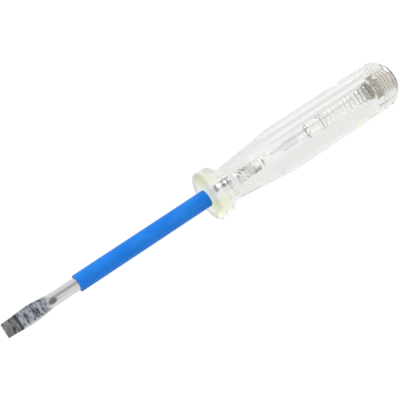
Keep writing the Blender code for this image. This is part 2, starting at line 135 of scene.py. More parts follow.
# Marks along the shank. Two numbers are a place and a reach, or where a mark fades out.
WORN_TO = (0.8, 2.6)
DARK_BAND = (4.5, 0.9)
TAPER_TO = (12.6, 14.8)
OVAL_AT, OVAL_HALF_LENGTH = 15.2, 1.6
# Painted shade: spots on the top of the shank inside the guard
SHADE_SPOTS_IN_GUARD = ((72.3, 0.9), (74.5, 1.1), (76.4, 1.1))

# The photograph's view, in radians and metres, with its lens in millimetres
VIEW_AZIMUTH = radians(-37.44)
VIEW_ELEVATION = radians(59.45)
VIEW_DISTANCE = 0.340
VIEW_LENS = 105.35
VIEW_TARGET = Vector((0.0675, 0, 0))
AXIS_OFFSET = 0.00062  # how far the axis passes below and right of the picture's centre
OFFSET_RIGHT, OFFSET_UP = -0.55, 0.835

# The wide lamp above, in metres and watts
LIGHT_PLACE, LIGHT_AIM = Vector((-0.12, 0.30, 0.52)), Vector((0.07, 0, 0))
LIGHT_WIDTH, LIGHT_WATTS = 0.45, 1.25


# Shapes
def clamped(share):
    """A share held between 0 and 1."""
    return min(1.0, max(0.0, share))


def rounded(corners, steps=8):
    """An outline past (place, radius, rounding) corners, each inner one with its rounding as an arc."""
    points = []
    for before, corner, after in zip(corners, corners[1:], corners[2:]):
        at = Vector(corner[:2])
        if not corner[2]:
            points.append(tuple(at))
            continue
        back = (Vector(before[:2]) - at).normalized()
        onward = (Vector(after[:2]) - at).normalized()
        half_angle = acos(back.dot(onward)) / 2
        centre = at + (back + onward).normalized() * corner[2] / sin(half_angle)
        start = at + back * corner[2] / tan(half_angle) - centre
        end = at + onward * corner[2] / tan(half_angle) - centre
        begin = atan2(start.y, start.x)
        turn = (atan2(end.y, end.x) - begin + pi) % (2 * pi) - pi
        points += arc(centre, corner[2], begin, turn, steps)
    return points


def arc(centre, radius, begin, turn, steps):
    """Points of an arc in a profile's plane, with its angles counted from the axis outwards."""
    angles = [begin + turn * step / steps for step in range(steps + 1)]
    return [(centre[0] + radius * cos(angle), centre[1] + radius * sin(angle)) for angle in angles]


def refined(points, longest, closed=False):
    """The same outline with no stretch longer than given."""
    finer = []
    following = points[1:] + points[:1] if closed else points[1:]
    for one, other in zip(points, following):
        length = (Vector(other) - Vector(one)).length
        steps = max(1, round(length / longest + 0.4))
        finer += [tuple(Vector(one).lerp(Vector(other), step / steps)) for step in range(steps)]
    return finer if closed else finer + [points[-1]]


def spun(profile, steps, closed=False):
    """A bmesh turned round the tool's axis from (place, radius) points."""
    bm = bmesh.new()
    verts = [bm.verts.new((along, 0, radius)) for along, radius in profile]
    edges = [bm.edges.new(pair) for pair in zip(verts, verts[1:])]
    if closed:
        edges.append(bm.edges.new((verts[-1], verts[0])))
    spin = {"cent": (0, 0, 0), "axis": (1, 0, 0), "angle": 2 * pi, "steps": steps, "use_merge": True}
    bmesh.ops.spin(bm, geom=verts + edges, **spin)
    bmesh.ops.remove_doubles(bm, verts=bm.verts, dist=0.00001)
    return bm


def sink(bm, radius_at):
    """Moves each vertex to the radius that a function gives for its place, angle and radius."""
    for vert in bm.verts:
        radius = sqrt(vert.co.y**2 + vert.co.z**2)
        if radius:
            wanted = radius_at(vert.co.x, atan2(vert.co.z, vert.co.y), radius)
            vert.co.y *= wanted / radius
            vert.co.z *= wanted / radius


def softest(one, other, blend):
    """The smaller of two lengths, with the corner between them rounded off."""
    overlap = max(blend - abs(one - other), 0) / blend
    return min(one, other) - overlap * overlap * blend / 4


def placed(name, bm):
    """An object in the scene, made from a bmesh."""
    mesh = bpy.data.meshes.new(name)
    bm.to_mesh(mesh)
    bm.free()
    made = bpy.data.objects.new(name, mesh)
    bpy.context.scene.collection.objects.link(made)
    return made


def smooth(mesh, sharp=35.0):
    """Shades a mesh smooth, but for edges sharper than an angle in degrees."""
    mesh.shade_smooth()
    mesh.set_sharp_from_angle(angle=radians(sharp))


def piece(name, bm, body, look, node, sharp=35.0):
    """Finishes a bmesh in millimetres as a piece that stands for a node and rides on a body."""
    bmesh.ops.recalc_face_normals(bm, faces=bm.faces)
    bmesh.ops.scale(bm, verts=bm.verts, vec=(MM, MM, MM))
    made = placed(name, bm)
    made.data.materials.append(look)
    smooth(made.data, sharp)
    if body:
        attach(made, body)
    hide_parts(node)
    return made


def wire(points, diameter, resolution):
    """The bmesh of a round wire through points in millimetres."""
    curve = bpy.data.curves.new("wire", "CURVE")
    curve.dimensions = "3D"
    curve.bevel_depth = diameter / 2
    curve.bevel_resolution = resolution
    curve.use_fill_caps = True
    spline = curve.splines.new("POLY")
    spline.points.add(len(points) - 1)
    for spot, point in zip(spline.points, points):
        spot.co = (*point, 1.0)
    holder = bpy.data.objects.new("wire", curve)
    mesh = bpy.data.meshes.new_from_object(holder)
    bm = bmesh.new()
    bm.from_mesh(mesh)
    bmesh.ops.remove_doubles(bm, verts=bm.verts, dist=0.00001)
    bpy.data.meshes.remove(mesh)
    bpy.data.objects.remove(holder)
    bpy.data.curves.remove(curve)
    return bm


# Shader sums
class Shade:
    """A socket in a material's nodes. Sums on it add Math nodes."""

    def __init__(self, tree, socket=None):
        self.tree = tree
        self.socket = socket

    def make(self, kind, settings=None, inputs=None, out=0):
        """Adds a node, first with its settings and then with the values or links of its sockets."""
        node = self.tree.nodes.new(kind)
        for name, value in (settings or {}).items():
            setattr(node, name, value)
        for name, value in (inputs or {}).items():
            self.feed(node.inputs[name], value)
        return Shade(self.tree, node.outputs[out])

    def feed(self, socket, value):
        """Links or sets a socket."""
        if isinstance(value, Shade):
            self.tree.links.new(value.socket, socket)
        else:
            socket.default_value = value

    def math(self, operation, first, second=0.0):
        """Adds a Math node."""
        return self.make("ShaderNodeMath", {"operation": operation}, {0: first, 1: second})

    def __add__(self, other):
        return self.math("ADD", self, other)

    __radd__ = __add__

    def __mul__(self, other):
        return self.math("MULTIPLY", self, other)

    __rmul__ = __mul__

    def __sub__(self, other):
        return self.math("SUBTRACT", self, other)

    def __rsub__(self, other):
        return self.math("SUBTRACT", other, self)

    def __truediv__(self, other):
        return self.math("DIVIDE", self, other)

    def __pow__(self, power):
        return self.math("POWER", self, power)

    def __neg__(self):
        return self * -1

    def __abs__(self):
        return self.math("ABSOLUTE", self)

    def wave(self):
        """The sine of this value."""
        return self.math("SINE", self)

    def between(self, low, high):
        """0 below low, 1 above high and a smooth rise between them."""
        settings = {"interpolation_type": "SMOOTHSTEP"}
        return self.make("ShaderNodeMapRange", settings, {"Value": self, "From Min": low, "From Max": high})

    def inside(self, start, full, fall, end):
        """0 outside start to end and 1 from full to fall, with smooth edges."""
        return self.between(start, full) * (1 - self.between(fall, end))

    def near(self, place, width):
        """1 at a place, falling smoothly to 0 at a distance from it."""
        return 1 - abs(self - place).between(0.0, width)

    def tint(self, one, other):
        """A colour between two, by this share."""
        ends = [end if isinstance(end, Shade) else (*end, 1.0) for end in (one, other)]
        return self.make("ShaderNodeMix", {"data_type": "RGBA"}, {0: self, 6: ends[0], 7: ends[1]}, 2)

    def part(self, axis):
        """One coordinate of a vector."""
        return self.make("ShaderNodeSeparateXYZ", None, {"Vector": self}, axis)

    def noise(self, scale, detail=2.0, roughness=0.5):
        """Noise on this vector, about 0.5 on average."""
        inputs = {"Vector": self, "Scale": scale, "Detail": detail, "Roughness": roughness}
        return self.make("ShaderNodeTexNoise", None, inputs)

    def turned(self, scale=(1, 1, 1), turn=(0, 0, 0)):
        """This vector, scaled and turned."""
        return self.make("ShaderNodeMapping", None, {"Vector": self, "Scale": scale, "Rotation": turn})

    def bump(self, depth):
        """A normal from this height, with the depth of a height of 1 in millimetres."""
        return self.make("ShaderNodeBump", None, {"Height": self, "Strength": 1.0, "Distance": depth * MM})


class Finish:
    """A material with its shader, and the object's own coordinates in millimetres."""

    def __init__(self, name, **constants):
        self.material = bpy.data.materials.new(name)
        self.material.use_nodes = True
        tree = self.material.node_tree
        self.shader = tree.nodes["Principled BSDF"]
        self.start = Shade(tree)
        for socket, value in constants.items():
            self.shader.inputs[socket.replace("_", " ")].default_value = value
        coordinates = self.start.make("ShaderNodeTexCoord", out="Object")
        self.place = coordinates.turned(scale=(1000, 1000, 1000))

    def set(self, socket, value):
        """Links or sets one of the shader's sockets."""
        self.start.feed(self.shader.inputs[socket], value)

    def outward(self):
        """The distance from the tool's axis in millimetres."""
        flat = self.place.turned(scale=(0, 1, 1))
        return self.start.make("ShaderNodeVectorMath", {"operation": "LENGTH"}, {0: flat}, 1)


# Finishes
def clear_plastic():
    """Clear moulded plastic, lightly scuffed, with a frosted front face and painted shade in the plug's
    recess.
    """
    look = Finish("clear_plastic", Transmission_Weight=1.0, IOR=1.49)
    along, outward = look.place.part(0), look.outward()
    aside = look.place.turned(turn=(-BRIGHT_SIDE, 0, 0))
    across, above = aside.part(1), aside.part(2)
    waves = look.place.turned(scale=(0.35, 1, 1)).noise(0.4, 2.0)
    scuffs = look.place.noise(2.5, 4.0, 0.6)
    wall = scuffs.between(0.3, 0.8).tint((0.815, 0.82, 0.80), (0.765, 0.77, 0.75))
    wall = grip_light(look, wall, along, across, above)
    front = 1 - along.between(GUARD_FRONT + 0.3, GUARD_FRONT + 1.3)
    guard = 1 - along.between(GUARD_BACK - 2.2, GUARD_BACK - 0.4)
    wall = guard_light(wall, front, guard, across, above)
    bore = 1 - outward.between(THREAD_GROOVE, THREAD_GROOVE + 0.4)
    bore = bore * along.between(GUARD_FRONT + 0.02, GUARD_FRONT + 0.1)
    # Painted shade: a dark, broken line on the wall of the plug's recess
    recess = 1 - outward.between(RECESS + 0.05, RECESS + 0.15)
    recess = recess * along.between(RECESS_FRONT - 0.1, RECESS_FRONT)
    recess_shade = recess * look.place.noise(0.5, 2.0).between(0.4, 0.55)
    look.set("Base Color", recess_shade.tint(bore.tint(wall, (1, 1, 1)), (0.12, 0.12, 0.13)))
    scuffed = scuffs.between(0.45, 0.85) * 0.05 + 0.015
    look.set("Roughness", scuffed + bore * 0.06 + front * 0.5 + guard * 0.03)
    look.set("Normal", (waves + scuffs * 0.04).bump(0.03))
    return look.material


def grip_light(look, wall, along, across, above):
    """The grip's colour with painted light: a painted highlight over the bore, painted reflections as streaks
    on one side and two painted yellow glints on the other.
    """
    lit = above.between(*LIT_ABOVE)
    # Painted highlight: a light band over the bore, on its lit side
    band = lit * along.inside(*BAND_ALONG) * across.inside(*BAND_ACROSS)
    wall = band.tint(wall, (0.98, 0.985, 0.97))
    # Painted reflections: light and dark streaks beside the band
    drift = look.place.turned(scale=(0.06, 1, 1)).noise(0.5, 1.0) * 0.8
    ripples = ((across + drift - 1.7) * 3.0).wave()
    streaks = ripples.between(-0.8, 0.8).tint((0.72, 0.725, 0.71), (0.98, 0.98, 0.97))
    wall = (lit * along.inside(*STREAKS_ALONG) * across.between(*STREAKS_ACROSS)).tint(wall, streaks)
    # Painted highlights: two yellow glints on the other side
    glints = sum(along.near(place, length) * (-across).between(*rise) for place, length, *rise in GLINTS)
    return (glints * above.between(0.0, 0.6)).tint(wall, (0.93, 0.95, 0.58))


def guard_light(wall, front, guard, across, above):
    """The guard's colour with painted light: paler overall, a painted yellow-green glow in the plastic's own
    tint on both sides of the shank, and a painted pale lower front.
    """
    # Painted glow: the plastic's own yellow-green tint, laid where light runs long through the guard
    lobes = abs(across - SHANK_SEEN_AT).between(1.8, 3.0) * (1 - abs(across).between(6.4, 7.4) * 0.8)
    yellow = front.tint((0.80, 0.84, 0.56), (0.76, 0.80, 0.48))
    wall = (guard * lobes).tint(guard.tint(wall, (0.92, 0.94, 0.93)), yellow)
    # Painted highlight: the lower half of the front face is pale
    pale = front * (1 - above.between(-1.5, 0.5))
    return pale.tint(wall, (0.97, 0.97, 0.99))


def blade_steel():
    """Bright plated rod, ground dark across its tip and coarsely up the taper, with a painted highlight along
    one edge of the taper; in the guard it is painted brighter, with spots of painted shade on its top.
    """
    look = Finish("blade_steel", Metallic=1.0)
    along = look.place.part(0)
    turned = look.place.turned(turn=(-BLADE_TURN, 0, 0))
    side = turned.part(1)
    strokes = turned.turned(scale=(1, 0.35, 0.35)).noise(1.25, 4.0, 0.65)
    fine = turned.turned(scale=(9, 0.7, 0.7)).noise(1.5, 3.0, 0.6)
    dark = (strokes * 0.8 + fine * 0.2).between(0.38, 0.62)
    tip = 1 - along.between(BLADE_GROUND_TO - 0.1, BLADE_GROUND_TO + 0.2)
    flat = 1 - along.between(*TAPER_TO)
    # Painted highlight: a lighter strip along one edge of the taper
    edge = (-side).between(1.6, 2.1) * (1 - tip) * 0.7
    taper = edge.tint(dark.tint((0.47, 0.50, 0.55), (0.06, 0.07, 0.09)), (0.66, 0.68, 0.72))
    worn = (1 - along.between(*WORN_TO)) * 0.55
    ground = worn.tint(dark.tint((0.30, 0.30, 0.30), (0.04, 0.035, 0.045)), (0.30, 0.30, 0.28))
    ground = (along.near(*DARK_BAND) * 0.7).tint(ground, (0.03, 0.03, 0.04))
    streaks = look.place.turned(scale=(0.05, 1, 1)).noise(1.6, 3.0, 0.6)
    bright = streaks.between(0.35, 0.65).tint((0.69, 0.69, 0.69), (0.60, 0.60, 0.61))
    oval = ((along - OVAL_AT) / OVAL_HALF_LENGTH) ** 2.0 + side**2.0
    bright = oval.between(0.2, 1.2).tint((0.16, 0.17, 0.18), bright)
    # Inside the guard the shank is painted brighter, with spots of painted shade on its top
    held = along.between(GUARD_FRONT - 0.5, GUARD_FRONT + 0.5)
    marks = sum(along.near(place, length) for place, length in SHADE_SPOTS_IN_GUARD) * strokes.between(0.35, 0.5)
    marks = marks * look.place.part(2).between(1.70, 1.85) * (1 - look.outward().between(2.05, 2.1))
    bright = held.tint(bright, marks.tint((0.98, 0.98, 0.97), (0.20, 0.22, 0.22)))
    look.set("Base Color", tip.tint(flat.tint(bright, taper), ground))
    look.set("Roughness", 0.26 + flat * 0.10 - held * 0.1 + fine.between(0.3, 0.7) * flat * 0.12)
    look.set("Normal", ((fine * 0.4 + strokes) * flat + streaks * 0.03).bump(0.06))
    return look.material


def blue_pvc():
    """Soft blue tube with a satin skin, faint clouds and a painted highlight that makes its rear end pale."""
    look = Finish("blue_pvc", IOR=1.45, Specular_IOR_Level=0.3)
    clouds = look.place.turned(scale=(0.4, 1, 1)).noise(0.35, 3.0, 0.55)
    skin = look.place.turned(scale=(0.2, 1, 1)).noise(3.0, 3.0)
    blue = clouds.between(0.3, 0.7).tint((0.004, 0.195, 0.76), (0.010, 0.235, 0.82))
    # Painted highlight: the rear end, against the guard, is pale
    end_highlight = look.place.part(0).between(GUARD_FRONT - 0.12, GUARD_FRONT - 0.04)
    look.set("Base Color", end_highlight.tint(blue, (0.72, 0.80, 0.92)))
    look.set("Roughness", 0.42 + skin.between(0.3, 0.7) * 0.1)
    look.set("Normal", (skin * 0.2 + clouds).bump(0.06))
    return look.material


def resistor_coat():
    """Pale greenish lacquer on ceramic."""
    look = Finish("resistor_coat", Coat_Weight=0.6, Coat_Roughness=0.12)
    mottle = look.place.noise(2.0, 3.0)
    look.set("Base Color", mottle.between(0.3, 0.7).tint((0.95, 0.98, 0.94), (0.97, 0.99, 0.96)))
    look.set("Roughness", 0.4 + mottle * 0.15)
    look.set("Normal", mottle.bump(0.02))
    return look.material


def drawn_metal(name, bright, dull, smoothest, roughest):
    """Metal with fine marks, from its two colours and two roughnesses."""
    look = Finish(name, Metallic=1.0)
    marks = look.place.noise(2.2, 4.0, 0.6)
    stain_and_shade = look.place.noise(0.7, 2.0)
    share = (marks * 0.5 + stain_and_shade * 0.5).between(0.35, 0.65)
    look.set("Base Color", share.tint(bright, dull))
    look.set("Roughness", share * (roughest - smoothest) + smoothest)
    look.set("Normal", marks.bump(0.01))
    return look.material


def pressed_metal():
    """Pressed caps: bright on the lamp, with a polished lip at its rear one; on the resistor, painted dark
    reflections on the front cap and painted shade on one side of the rear cap.
    """
    look = Finish("cap_metal", Metallic=1.0)
    along = look.place.part(0)
    marks = look.place.noise(1.1, 2.0)
    # Painted reflections: dark blots on the resistor's front cap
    front = marks.between(0.36, 0.48).tint((0.30, 0.33, 0.31), (0.96, 0.96, 0.95))
    # Painted shade: the resistor's rear cap is darker on one side
    stain_and_shade = (look.place.part(1) * -0.91 - look.place.part(2) * 0.42).between(0.2, 1.2)
    stain_and_shade = stain_and_shade * (1 - along.between(RESISTOR_BACK - 1.4, RESISTOR_BACK - 0.7))
    rear = stain_and_shade.tint((0.93, 0.93, 0.92), (0.40, 0.40, 0.39))
    resistor = along.between(RESISTOR_FRONT + 4.5, RESISTOR_FRONT + 5.0).tint(front, rear)
    lamp = marks.between(0.35, 0.65).tint((0.94, 0.94, 0.93), (0.98, 0.98, 0.98))
    look.set("Base Color", along.between(RESISTOR_BACK, LAMP_FRONT).tint(resistor, lamp))
    lip = along.inside(*(LAMP_REAR_MOUTH + shift for shift in (-0.6, -0.2, 1.0, 1.4)))
    look.set("Roughness", (marks * 0.12 + 0.08) * (1 - lip * 0.95))
    look.set("Normal", marks.bump(0.01))
    return look.material


def spring_steel():
    """Drawn spring wire, darker at both ends and more so at the plug."""
    look = Finish("spring_steel", Metallic=1.0)
    along = look.place.part(0)
    marks = look.place.noise(2.2, 4.0, 0.6).between(0.35, 0.65)
    front_end = 1 - along.between(SPRING_FRONT + 1.0, SPRING_FRONT + 3.0)
    rear_end = along.between(SPRING_BACK - 5.0, SPRING_BACK - 2.5)
    drawn = marks.tint((0.99, 0.99, 0.98), (0.92, 0.92, 0.91))
    look.set("Base Color", (front_end * 0.55 + rear_end).tint(drawn, (0.55, 0.55, 0.54)))
    look.set("Roughness", marks * 0.16 + 0.12)
    look.set("Normal", marks.bump(0.01))
    return look.material


def plug_metal():
    """Turned plated metal: a darker brown boss, a bright thread, a grey face and a line of painted shade
    round the rim.
    """
    look = Finish("plug_metal", Metallic=1.0)
    along, outward = look.place.part(0), look.outward()
    marks = look.place.turned(scale=(3, 0.6, 0.6)).noise(1.6, 4.0, 0.6)
    share = marks.between(0.35, 0.65)
    crest = outward.between(PLUG_CORE + 0.05, PLUG_THREAD - 0.05)
    thread = crest.tint((0.84, 0.80, 0.73), share.tint((0.98, 0.97, 0.95), (0.93, 0.91, 0.88)))
    boss = share.tint((0.56, 0.52, 0.46), (0.40, 0.36, 0.30))
    body = along.between(THREAD_FRONT - 0.6, THREAD_FRONT + 0.4).tint(boss, thread)
    face = along.between(PLUG_BACK - 0.12, PLUG_BACK - 0.02)
    body = face.tint(body, share.tint((0.64, 0.63, 0.61), (0.50, 0.49, 0.47)))
    # Painted shade: a dark line round the head's rim
    rim = outward.between(PLUG_HEAD - 0.5, PLUG_HEAD - 0.2)
    rim = rim * along.between(HEAD_FRONT - 0.1, HEAD_FRONT + 0.1)
    look.set("Base Color", rim.tint(body, (0.10, 0.10, 0.11)))
    look.set("Roughness", share * 0.12 + 0.22)
    look.set("Normal", marks.bump(0.01))
    return look.material


def lamp_glass():
    """Clear drawn glass, unseen where it is cemented into the caps."""
    look = Finish("lamp_glass", Transmission_Weight=1.0, IOR=1.5)
    flow = look.place.turned(scale=(0.2, 1, 1)).noise(0.9, 1.0)
    front, rear = LAMP_FRONT_MOUTH - 0.3, LAMP_REAR_MOUTH + 0.2
    look.set("Base Color", flow.tint((1, 1, 1), (0.99, 1, 1)))
    look.set("Roughness", flow * 0.01)
    look.set("Alpha", look.place.part(0).inside(front, front + 0.1, rear, rear + 0.1))
    look.set("Normal", flow.bump(0.03))
    return look.material


# Pieces
def facet_radius(angle):
    """How far out the grip's flat lies at an angle round the axis, with one flat facing down."""
    side = 2 * pi / GRIP_FLATS
    return GRIP_APOTHEM / cos((angle + side / 2) % side - side / 2)


def thread_height(along, angle, half_crest, half_root):
    """The height share of the right-hand thread, 1 on its crest."""
    turns = (along - THREAD_FRONT) / PITCH - angle / (2 * pi)
    beside = abs((turns + 0.5) % 1.0 - 0.5) * PITCH
    share = clamped((half_root - beside) / (half_root - half_crest))
    return share * share * (3 - 2 * share)


def handle_radius(along, angle, radius):
    """The moulding's radius, with the grip's flats and a shallow thread in the tapped bore."""
    if along > NECK_AT and radius > RECESS + 0.2:
        return softest(radius, facet_radius(angle), 0.3)
    if TAPPED_FROM < along < RECESS_FRONT - 0.08 and abs(radius - THREAD_BORE) < 0.01:
        lead_in = clamped((along - THREAD_FRONT + 0.6) / THREAD_RUN_OUT)
        depth = 0.85 + 0.15 * thread_height(along, angle, 0.05, 0.45)
        return radius + (THREAD_GROOVE - THREAD_BORE) * lead_in * depth
    return radius


def make_handle(look):
    """The clear moulding: guard, neck, flatted grip and rounded tail, with its stepped bore."""
    outside = [
        (GUARD_FRONT, 0, 0),
        (GUARD_FRONT, GUARD, GUARD_FRONT_ROUND),
        (GUARD_BACK, GUARD, GUARD_BACK_ROUND),
        (NECK_AT, NECK, NECK_ROUND),
        (GRIP_START, GRIP, GRIP_START_ROUND),
        (TAIL_END, GRIP, 0),
    ]
    drop = TAIL_LIP - (GRIP - TAIL_ROUND)
    end_angle = atan2(drop, sqrt(TAIL_ROUND**2 - drop**2))
    centre = (TAIL_END - TAIL_ROUND * cos(end_angle), GRIP - TAIL_ROUND)
    tail = arc(centre, TAIL_ROUND, pi / 2, end_angle - pi / 2, 16)
    inside = [
        (TAIL_END, TAIL_LIP, 0),
        (TAIL_END, RECESS, 0.12),
        (RECESS_FRONT, RECESS, 0.1),
        (RECESS_FRONT, THREAD_BORE, 0.08),
        (THREAD_BORE_FRONT, THREAD_BORE, 0.15),
        (THREAD_BORE_FRONT, BORE, 0.1),
        (BORE_FRONT, BORE, 0.35),
        (BORE_FRONT, HOLE, 0),
        (GUARD_FRONT, HOLE, 0),
        (GUARD_FRONT, 0, 0),
    ]
    inside = rounded(inside, 4)
    tapped = [spot for spot in refined(inside, 0.06) if TAPPED_FROM < spot[0] < RECESS_FRONT - 0.09]
    tapped = [spot for spot in tapped if abs(spot[1] - THREAD_BORE) < 0.001]
    before = [spot for spot in inside if spot[0] > RECESS_FRONT - 0.1]
    after = [spot for spot in inside if spot[0] < TAPPED_FROM]
    outline = refined(rounded(outside, 12), 0.7) + tail + before + tapped + refined(after, 0.9)
    bm = spun(outline, 192, closed=True)
    sink(bm, handle_radius)
    piece("clear_handle", bm, "handle_assembly", look, "handle", 40.0)


def blade_half_width(along):
    """Half the forged blade's width: it swells from the tip and draws in again to the round shank."""
    if along < BLADE_WIDEST_AT:
        near, far, share = BLADE_TIP_HALF_WIDTH, BLADE_WIDEST_HALF, along / BLADE_WIDEST_AT
    else:
        near, far = BLADE_WIDEST_HALF, SHANK
        share = min(1.0, (along - BLADE_WIDEST_AT) / (BLADE_END - BLADE_WIDEST_AT))
    return near + (far - near) * (1 - cos(pi * share)) / 2


def blade_half_thickness(along):
    """Half the thickness between the flats: level at the tip, then a wedge with a scooped end."""
    if along < BLADE_GROUND_TO:
        return BLADE_HALF_THICKNESS
    if along < SCOOP_AT:
        return BLADE_HALF_THICKNESS + (along - BLADE_GROUND_TO) * WEDGE_RISE
    past = along - SCOOP_AT
    return min(3.0, SCOOP_HALF_THICKNESS + past * WEDGE_RISE + past**2 * SCOOP_RISE)


def make_blade(look):
    """The rod, flattened to its blade, with the two wings that keep it from turning in the plastic."""
    places = [0, 0.06] + [BLADE_GROUND_TO * share / 20 for share in range(1, 20)]
    places += [BLADE_GROUND_TO - 0.06, BLADE_GROUND_TO, BLADE_GROUND_TO + 0.06]
    places += [BLADE_GROUND_TO + 0.25 * step for step in range(1, 56)]
    places = sorted(set(places + [20, 40, 60, SHANK_END - 0.2]))
    profile = [(0, 0), (0, SHANK - 0.05)] + [(place, SHANK) for place in places[1:]]
    profile += [(SHANK_END, SHANK - 0.2), (SHANK_END, 0)]
    bm = spun(profile, 120)
    for vert in bm.verts:
        along = vert.co.x
        if along < BLADE_END + 4:
            vert.co.y *= blade_half_width(along) / SHANK
            height = softest(abs(vert.co.z), blade_half_thickness(along), 0.12)
            vert.co.z = height if vert.co.z > 0 else -height
    wings = bmesh.ops.create_cube(bm, size=1.0)["verts"]
    bmesh.ops.scale(bm, verts=wings, vec=WINGS)
    bmesh.ops.translate(bm, verts=wings, vec=(GUARD_FRONT + WINGS_BEHIND_GUARD, 0, 0))
    edges = [edge for edge in bm.edges if edge.verts[0] in wings]
    bmesh.ops.bevel(bm, geom=edges, offset=0.25, segments=3, profile=0.5, affect="EDGES", material=-1)
    bmesh.ops.rotate(bm, verts=bm.verts, cent=(0, 0, 0), matrix=Matrix.Rotation(BLADE_TURN, 3, "X"))
    piece("driver_blade", bm, "handle_assembly", look, "blade_shank")


def make_sleeve(look):
    """The blue tube, pushed up against the guard."""
    back = GUARD_FRONT - 0.01
    outline = [
        (SLEEVE_FRONT, SLEEVE_INNER, 0),
        (SLEEVE_FRONT, SLEEVE_OUTER, 0.14),
        (back, SLEEVE_OUTER, 0.1),
        (back, SLEEVE_INNER, 0.05),
        (SLEEVE_FRONT, SLEEVE_INNER, 0.1),
        (SLEEVE_FRONT, SLEEVE_OUTER, 0),
    ]
    bm = spun(refined(rounded(outline, 4), 1.5, closed=True), 96, closed=True)
    piece("blue_sleeve", bm, "handle_assembly", look, "insulating_sleeve")


def make_cap(name, node, mouth, floor_at, outer, wall, look, hole=0.0):
    """A pressed cup with a rolled mouth, from its mouth to its closed end."""
    facing = 1 if floor_at > mouth else -1
    lip = mouth + facing * 0.25
    outline = [
        (floor_at - facing * wall, hole, 0),
        (floor_at - facing * wall, outer - wall, 0.12),
        (lip, outer - wall, 0.05),
        (mouth, outer - wall - 0.1, 0.06),
        (mouth, outer, 0.1),
        (lip, outer, 0.08),
        (lip + facing * 0.2, outer - 0.07, 0.08),
        (floor_at - facing * 0.5, outer - 0.07, 0.08),
        (floor_at - facing * 0.3, outer, 0.1),
        (floor_at, outer, 0.28),
        (floor_at, hole, 0),
    ]
    profile = [outline[0][:2]] + rounded(outline, 4) + [outline[-1][:2]]
    bm = spun(profile, 72, closed=hole > 0)
    piece(name, bm, "handle_assembly", look, node)


def make_resistor(coat, metal):
    """The resistor: a lacquered rod in two caps."""
    ends = (("front", RESISTOR_FRONT_MOUTH, RESISTOR_FRONT), ("rear", RESISTOR_REAR_MOUTH, RESISTOR_BACK))
    for end, mouth, closed_at in ends:
        names = (f"resistor_cap_{end}", f"resistor_{end}_cap")
        make_cap(*names, mouth, closed_at, RESISTOR_CAP, RESISTOR_SHEET, metal)
    outline = [(ROD_FRONT, 0, 0), (ROD_FRONT, ROD, 0.3), (ROD_BACK, ROD, 0.3), (ROD_BACK, 0, 0)]
    bm = spun([(ROD_FRONT, 0)] + rounded(outline, 5) + [(ROD_BACK, 0)], 72)
    piece("resistor_rod", bm, "handle_assembly", coat, "resistor_body")


def make_glass(look):
    """The lamp's tube with a dome at each end, left open round its leads."""
    front, back = LAMP_FRONT + GLASS_INSET, LAMP_BACK - GLASS_INSET
    walls = []
    for radius in (GLASS_OUTER, GLASS_INNER):
        start = atan2(LEAD_HOLE, radius)
        dome = arc((front + GLASS_OUTER, 0), radius, pi - start, start - pi / 2, 10)
        walls.append(refined(dome + arc((back - GLASS_OUTER, 0), radius, pi / 2, start - pi / 2, 10), 1.5))
    profile = walls[0] + list(reversed(walls[1]))
    piece("lamp_tube", spun(profile, 72, closed=True), "handle_assembly", look, "lamp_glass")


def make_lamp(glass, metal, copper, electrode):
    """The glow lamp: its glass and, at each end, a cap, a bent lead and an electrode."""
    make_glass(glass)
    middle = (LAMP_FRONT + LAMP_BACK) / 2
    ends = (("front", LAMP_FRONT, LAMP_FRONT_MOUTH, 1), ("rear", LAMP_BACK, LAMP_REAR_MOUTH, -1))
    for end, closed_at, mouth, inward in ends:
        names = (f"lamp_cap_{end}", f"lamp_{end}_cap")
        make_cap(*names, mouth, closed_at, LAMP_CAP, LAMP_SHEET, metal, LEAD_HOLE)
        aside = inward * ELECTRODE_ASIDE
        tip = middle + inward * ELECTRODE_PAST_MIDDLE
        root = tip - inward * ELECTRODE_LENGTH
        rod = wire([(root, 0, aside), (tip - inward * 0.1, 0, aside), (tip, 0, aside)], ELECTRODE, 4)
        node = f"lamp_{end}_electrode"
        piece(f"lamp_rod_{end}", rod, "handle_assembly", electrode, node)
        points = [(closed_at, 0, 0)]
        for step in range(8):
            share = step / 8
            before = LEAD_STRAIGHT + LEAD_BEND - LEAD_BEND * share
            points.append((root - inward * before, 0, aside * (1 - cos(pi * share)) / 2))
        points += [(root - inward * before, 0, aside) for before in (LEAD_STRAIGHT, LEAD_GAP)]
        lead = wire(points, LEAD_WIRE, 3)
        piece(f"lamp_wire_{end}", lead, "handle_assembly", copper, f"lamp_{end}_lead")


def make_spring(look):
    """The coil: one close turn at each end, open turns between, and its ends stand square."""
    steps = 28
    coils_front, coils_back = SPRING_FRONT + SPRING_WIRE, SPRING_BACK - SPRING_WIRE
    open_length = coils_back - coils_front - 2 * CLOSE_PITCH
    open_turns = round(open_length / OPEN_PITCH)
    points = [(SPRING_FRONT, SPRING_RADIUS, 0)]
    for step in range((open_turns + 2) * steps + 1):
        turn = step / steps
        close = min(turn, 1) + max(0, turn - 1 - open_turns)
        along = coils_front + close * CLOSE_PITCH + open_length / open_turns * (turn - close)
        angle = 2 * pi * turn
        points.append((along, SPRING_RADIUS * cos(angle), SPRING_RADIUS * sin(angle)))
    points.append((SPRING_BACK, SPRING_RADIUS, 0))
    coil = wire(points, SPRING_WIRE, 3)
    spring = piece("pressure_spring", coil, None, look, "contact_spring")
    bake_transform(spring)


def plug_radius(along, angle, radius):
    """The plug's radius, with its thread between the boss and the head."""
    share = clamped(min(along - THREAD_FRONT, THREAD_BACK - along) / THREAD_RUN_OUT)
    return radius + (PLUG_THREAD - PLUG_CORE) * share * thread_height(along, angle, 0.08, 0.36)


